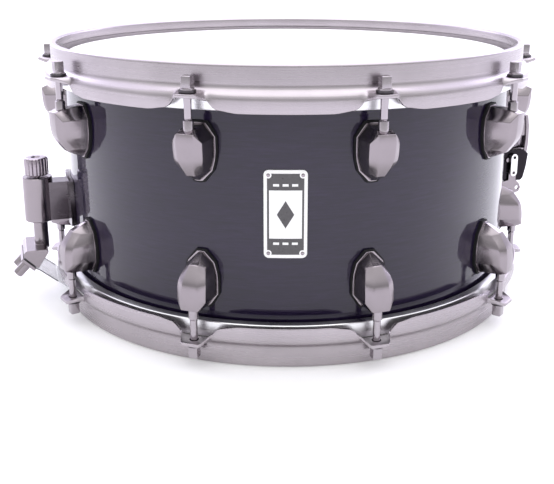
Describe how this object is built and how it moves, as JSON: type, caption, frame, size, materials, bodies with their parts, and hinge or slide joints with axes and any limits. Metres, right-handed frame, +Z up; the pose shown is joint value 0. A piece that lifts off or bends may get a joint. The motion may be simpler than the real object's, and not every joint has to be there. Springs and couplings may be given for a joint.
{
  "type": "snare drum",
  "caption": "Deep wooden snare drum with triple-flanged metal hoops, faceted lugs, white batter head, flip-lever strainer, adjustable butt and snare wires.",
  "frame": {"origin": "on the drum's axis at the height of the lower rim, where the drum stands", "axes": "+Z up along the drum's axis towards the batter head; -Y is the front, where the badge is; +X is the strainer side"},
  "size_m": [0.4364, 0.3852, 0.199],
  "materials": {
    "shell_lacquer": "high-gloss charcoal lacquer over a fine-grained ply shell",
    "coated_film": "white sprayed coating on polyester film",
    "clear_film": "thin hazy polyester film",
    "hoop_aluminium": "plain drawn aluminium channel",
    "black_nickel_steel": "light black-nickel plate, brushed along the hoop",
    "black_nickel": "light black-nickel plate on castings",
    "rod_steel": "polished plate on threaded steel",
    "dark_nickel": "dark black-nickel plate",
    "knurled_nickel": "knurled and plated",
    "strap_plastic": "clear flexible strip",
    "snare_steel": "coiled steel wire and plates",
    "badge_plate": "dark painted plate with pale printed border"
  },
  "bodies": {
    "drum": {"shell": "shell_lacquer", "batter_head": "coated_film", "batter_flesh_hoop": "hoop_aluminium", "batter_hoop": "black_nickel_steel", "snare_side_head": "clear_film", "snare_side_flesh_hoop": "hoop_aluminium", "snare_side_hoop": "black_nickel_steel", "badge": "badge_plate", "strainer_body": "dark_nickel", "butt_bracket": "black_nickel", "lug_top_01": "black_nickel", "lug_top_02": "black_nickel", "lug_top_03": "black_nickel", "lug_top_04": "black_nickel", "lug_top_05": "black_nickel", "lug_top_06": "black_nickel", "lug_top_07": "black_nickel", "lug_top_08": "black_nickel", "lug_top_09": "black_nickel", "lug_top_10": "black_nickel", "lug_bottom_01": "black_nickel", "lug_bottom_02": "black_nickel", "lug_bottom_03": "black_nickel", "lug_bottom_04": "black_nickel", "lug_bottom_05": "black_nickel", "lug_bottom_06": "black_nickel", "lug_bottom_07": "black_nickel", "lug_bottom_08": "black_nickel", "lug_bottom_09": "black_nickel", "lug_bottom_10": "black_nickel"},
    "strainer_lever": {"strainer_lever": "black_nickel"},
    "strainer_knob": {"strainer_knob": "knurled_nickel"},
    "strainer_link": {"strainer_link": "black_nickel"},
    "strainer_carriage": {"strainer_carriage": "black_nickel", "strap_strainer": "strap_plastic"},
    "snare_wires": {"snare_wires": "snare_steel"},
    "butt_knob": {"butt_knob": "knurled_nickel"},
    "butt_piston": {"butt_piston": "black_nickel", "butt_clamp": "black_nickel", "strap_butt": "strap_plastic"},
    "tension_rod_top_01": {"tension_rod_top_01": "rod_steel"},
    "tension_rod_top_02": {"tension_rod_top_02": "rod_steel"},
    "tension_rod_top_03": {"tension_rod_top_03": "rod_steel"},
    "tension_rod_top_04": {"tension_rod_top_04": "rod_steel"},
    "tension_rod_top_05": {"tension_rod_top_05": "rod_steel"},
    "tension_rod_top_06": {"tension_rod_top_06": "rod_steel"},
    "tension_rod_top_07": {"tension_rod_top_07": "rod_steel"},
    "tension_rod_top_08": {"tension_rod_top_08": "rod_steel"},
    "tension_rod_top_09": {"tension_rod_top_09": "rod_steel"},
    "tension_rod_top_10": {"tension_rod_top_10": "rod_steel"},
    "tension_rod_bottom_01": {"tension_rod_bottom_01": "rod_steel"},
    "tension_rod_bottom_02": {"tension_rod_bottom_02": "rod_steel"},
    "tension_rod_bottom_03": {"tension_rod_bottom_03": "rod_steel"},
    "tension_rod_bottom_04": {"tension_rod_bottom_04": "rod_steel"},
    "tension_rod_bottom_05": {"tension_rod_bottom_05": "rod_steel"},
    "tension_rod_bottom_06": {"tension_rod_bottom_06": "rod_steel"},
    "tension_rod_bottom_07": {"tension_rod_bottom_07": "rod_steel"},
    "tension_rod_bottom_08": {"tension_rod_bottom_08": "rod_steel"},
    "tension_rod_bottom_09": {"tension_rod_bottom_09": "rod_steel"},
    "tension_rod_bottom_10": {"tension_rod_bottom_10": "rod_steel"}
  },
  "joints": [
    {"name": "lever_flip", "type": "hinge", "parent": "drum", "child": "strainer_lever", "pos_m": [0.19592, 0.06366, 0.0835], "axis": [-0.309, 0.9511, 0], "range_deg": [0, 95]},
    {"name": "carriage_slide", "type": "slide", "parent": "drum", "child": "strainer_carriage", "axis": [0, 0, -1], "range_m": [0, 0.0078]},
    {"name": "link_swing", "type": "hinge", "parent": "strainer_carriage", "child": "strainer_link", "pos_m": [0.20067, 0.0652, 0.072], "axis": [0.309, -0.9511, 0], "range_deg": [0, 12]},
    {"name": "snare_drop", "type": "hinge", "parent": "drum", "child": "snare_wires", "pos_m": [-0.16929, -0.055, 0.0085], "axis": [-0.309, 0.9511, 0], "range_deg": [0, 1.25]},
    {"name": "strainer_knob_turn", "type": "hinge", "parent": "strainer_lever", "child": "strainer_knob", "pos_m": [0.20695, 0.06724, 0.0932], "axis": [0, 0, 1], "continuous": true},
    {"name": "butt_knob_turn", "type": "hinge", "parent": "drum", "child": "butt_knob", "pos_m": [-0.19164, -0.06227, 0.0986], "axis": [0, 0, -1], "range_deg": [-1450, 1270]},
    {"name": "butt_piston_slide", "type": "slide", "parent": "drum", "child": "butt_piston", "axis": [0, 0, 1], "range_m": [-0.004, 0.0035]},
    {"name": "tension_rod_top_01_turn", "type": "hinge", "parent": "drum", "child": "tension_rod_top_01", "pos_m": [0.05964, -0.18355, 0.187], "axis": [0, 0, 1], "continuous": true},
    {"name": "tension_rod_top_02_turn", "type": "hinge", "parent": "drum", "child": "tension_rod_top_02", "pos_m": [0.15614, -0.11344, 0.187], "axis": [0, 0, 1], "continuous": true},
    {"name": "tension_rod_top_03_turn", "type": "hinge", "parent": "drum", "child": "tension_rod_top_03", "pos_m": [0.193, 0, 0.187], "axis": [0, 0, 1], "continuous": true},
    {"name": "tension_rod_top_04_turn", "type": "hinge", "parent": "drum", "child": "tension_rod_top_04", "pos_m": [0.15614, 0.11344, 0.187], "axis": [0, 0, 1], "continuous": true},
    {"name": "tension_rod_top_05_turn", "type": "hinge", "parent": "drum", "child": "tension_rod_top_05", "pos_m": [0.05964, 0.18355, 0.187], "axis": [0, 0, 1], "continuous": true},
    {"name": "tension_rod_top_06_turn", "type": "hinge", "parent": "drum", "child": "tension_rod_top_06", "pos_m": [-0.05964, 0.18355, 0.187], "axis": [0, 0, 1], "continuous": true},
    {"name": "tension_rod_top_07_turn", "type": "hinge", "parent": "drum", "child": "tension_rod_top_07", "pos_m": [-0.15614, 0.11344, 0.187], "axis": [0, 0, 1], "continuous": true},
    {"name": "tension_rod_top_08_turn", "type": "hinge", "parent": "drum", "child": "tension_rod_top_08", "pos_m": [-0.193, 0, 0.187], "axis": [0, 0, 1], "continuous": true},
    {"name": "tension_rod_top_09_turn", "type": "hinge", "parent": "drum", "child": "tension_rod_top_09", "pos_m": [-0.15614, -0.11344, 0.187], "axis": [0, 0, 1], "continuous": true},
    {"name": "tension_rod_top_10_turn", "type": "hinge", "parent": "drum", "child": "tension_rod_top_10", "pos_m": [-0.05964, -0.18355, 0.187], "axis": [0, 0, 1], "continuous": true},
    {"name": "tension_rod_bottom_01_turn", "type": "hinge", "parent": "drum", "child": "tension_rod_bottom_01", "pos_m": [0.05964, -0.18355, 0.012], "axis": [0, 0, -1], "continuous": true},
    {"name": "tension_rod_bottom_02_turn", "type": "hinge", "parent": "drum", "child": "tension_rod_bottom_02", "pos_m": [0.15614, -0.11344, 0.012], "axis": [0, 0, -1], "continuous": true},
    {"name": "tension_rod_bottom_03_turn", "type": "hinge", "parent": "drum", "child": "tension_rod_bottom_03", "pos_m": [0.193, 0, 0.012], "axis": [0, 0, -1], "continuous": true},
    {"name": "tension_rod_bottom_04_turn", "type": "hinge", "parent": "drum", "child": "tension_rod_bottom_04", "pos_m": [0.15614, 0.11344, 0.012], "axis": [0, 0, -1], "continuous": true},
    {"name": "tension_rod_bottom_05_turn", "type": "hinge", "parent": "drum", "child": "tension_rod_bottom_05", "pos_m": [0.05964, 0.18355, 0.012], "axis": [0, 0, -1], "continuous": true},
    {"name": "tension_rod_bottom_06_turn", "type": "hinge", "parent": "drum", "child": "tension_rod_bottom_06", "pos_m": [-0.05964, 0.18355, 0.012], "axis": [0, 0, -1], "continuous": true},
    {"name": "tension_rod_bottom_07_turn", "type": "hinge", "parent": "drum", "child": "tension_rod_bottom_07", "pos_m": [-0.15614, 0.11344, 0.012], "axis": [0, 0, -1], "continuous": true},
    {"name": "tension_rod_bottom_08_turn", "type": "hinge", "parent": "drum", "child": "tension_rod_bottom_08", "pos_m": [-0.193, 0, 0.012], "axis": [0, 0, -1], "continuous": true},
    {"name": "tension_rod_bottom_09_turn", "type": "hinge", "parent": "drum", "child": "tension_rod_bottom_09", "pos_m": [-0.15614, -0.11344, 0.012], "axis": [0, 0, -1], "continuous": true},
    {"name": "tension_rod_bottom_10_turn", "type": "hinge", "parent": "drum", "child": "tension_rod_bottom_10", "pos_m": [-0.05964, -0.18355, 0.012], "axis": [0, 0, -1], "continuous": true}
  ],
  "couplings": [
    {"joint": "carriage_slide", "follows": "lever_flip", "m_per_rad": 0.004644},
    {"joint": "link_swing", "follows": "lever_flip", "ratio": 0.12421},
    {"joint": "snare_drop", "follows": "lever_flip", "ratio": 0.012689},
    {"joint": "butt_knob_turn", "follows": "butt_piston_slide", "rad_per_m": 6283.2}
  ]
}
